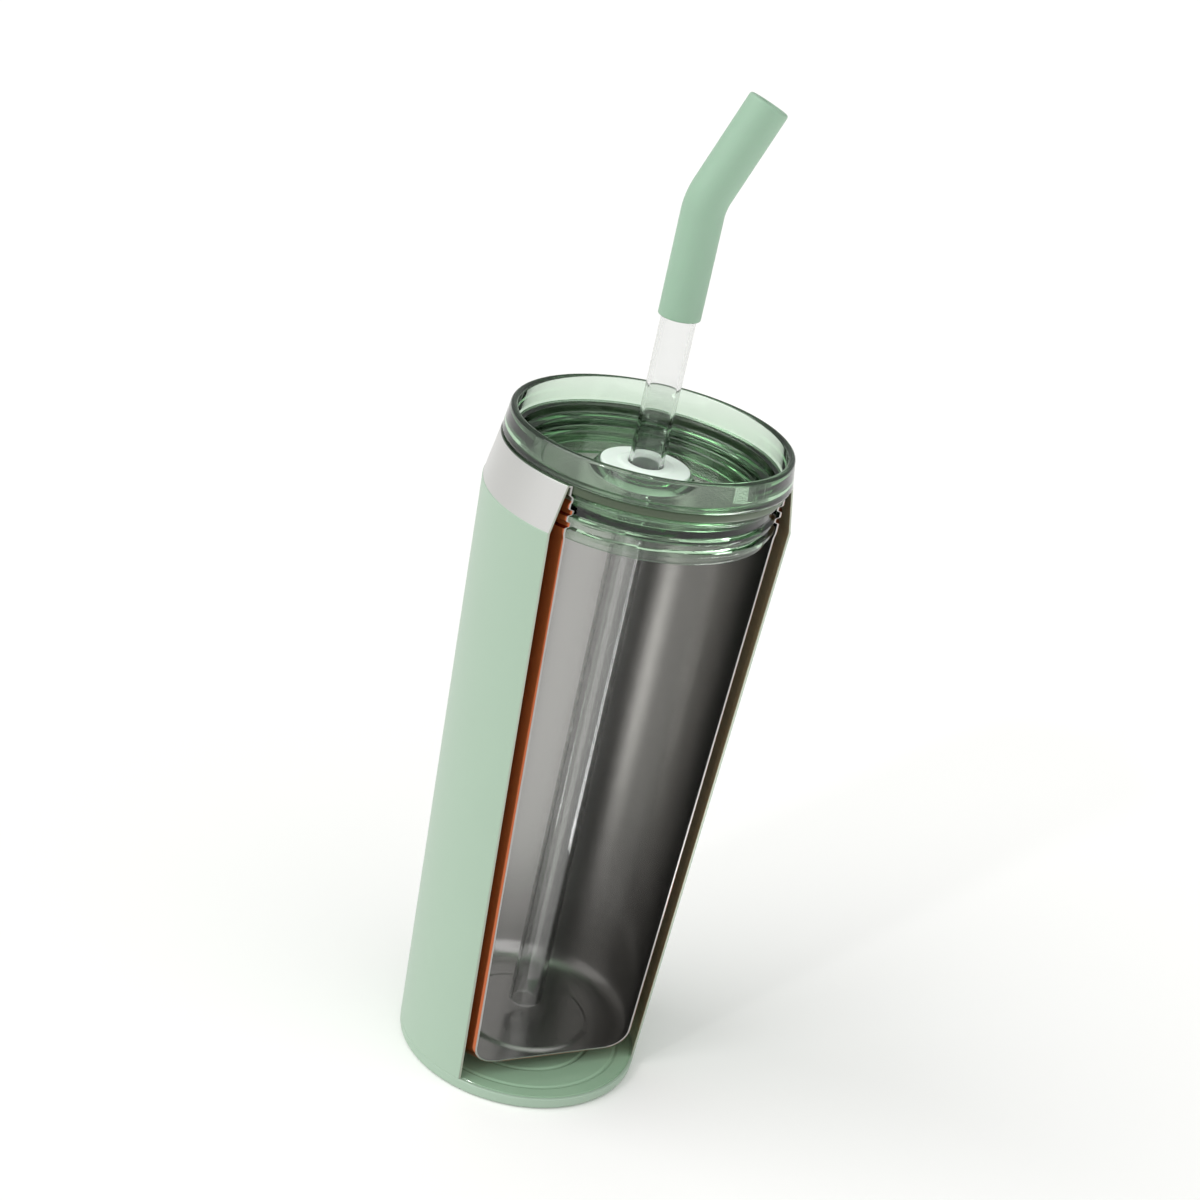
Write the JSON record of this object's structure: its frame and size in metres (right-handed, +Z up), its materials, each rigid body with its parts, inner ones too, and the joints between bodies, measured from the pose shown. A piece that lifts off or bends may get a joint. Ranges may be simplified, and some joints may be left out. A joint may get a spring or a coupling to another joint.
{
  "type": "insulated tumbler",
  "caption": "Tapered double-wall vacuum tumbler, sectioned down one side, with a clear screw-on lid and a straw that slides in a grommet and ends in a bent soft mouthpiece.",
  "frame": {"origin": "centre of the flat base, on the table", "axes": "+Z up along the tumbler's axis; -Y out of the sectioned side; the mouthpiece leans towards +X"},
  "size_m": [0.08, 0.0774, 0.272],
  "materials": {
    "collar_steel": "fine brushed",
    "mint_coat": "satin powder coat",
    "liner_steel": "electropolished",
    "copper_plating": "bright plated",
    "cover_steel": "brushed in circles",
    "clip_steel": "mill finish",
    "solder_glass": "fused",
    "getter_alloy": "sintered",
    "mint_cap": "satin",
    "lid_plastic": "clear, tinted, polished",
    "seal_silicone": "satin",
    "grommet_silicone": "satin",
    "straw_plastic": "clear, polished",
    "tip_silicone": "soft matte"
  },
  "bodies": {
    "cup": {"outer_shell": "collar_steel", "powder_coat": "mint_coat", "inner_liner": "liner_steel", "copper_lining": "copper_plating", "base_cap": "mint_cap", "vacuum_seal": "solder_glass", "getter_pellet": "getter_alloy", "getter_clip": "clip_steel", "cover_plate": "cover_steel"},
    "seal_ring": {"lid_gasket": "seal_silicone"},
    "lid": {"lid_body": "lid_plastic", "straw_grommet": "grommet_silicone"},
    "straw": {"straw_tube": "straw_plastic"},
    "mouthpiece": {"straw_tip": "tip_silicone"}
  },
  "joints": [
    {"name": "lid_rise", "type": "slide", "parent": "cup", "child": "seal_ring", "axis": [0, 0, 1], "range_m": [0, 0.0096]},
    {"name": "lid_screw", "type": "hinge", "parent": "seal_ring", "child": "lid", "pos_m": [0, 0, 0.17], "axis": [0, 0, 1], "range_deg": [0, 1080]},
    {"name": "straw_pull", "type": "slide", "parent": "lid", "child": "straw", "axis": [0, 0, 1], "range_m": [-0.0035, 0.15]},
    {"name": "mouthpiece_turn", "type": "hinge", "parent": "straw", "child": "mouthpiece", "pos_m": [0, 0, 0.22], "axis": [0, 0, 1], "continuous": true}
  ],
  "couplings": [
    {"joint": "lid_rise", "follows": "lid_screw", "m_per_rad": 0.0005093}
  ]
}
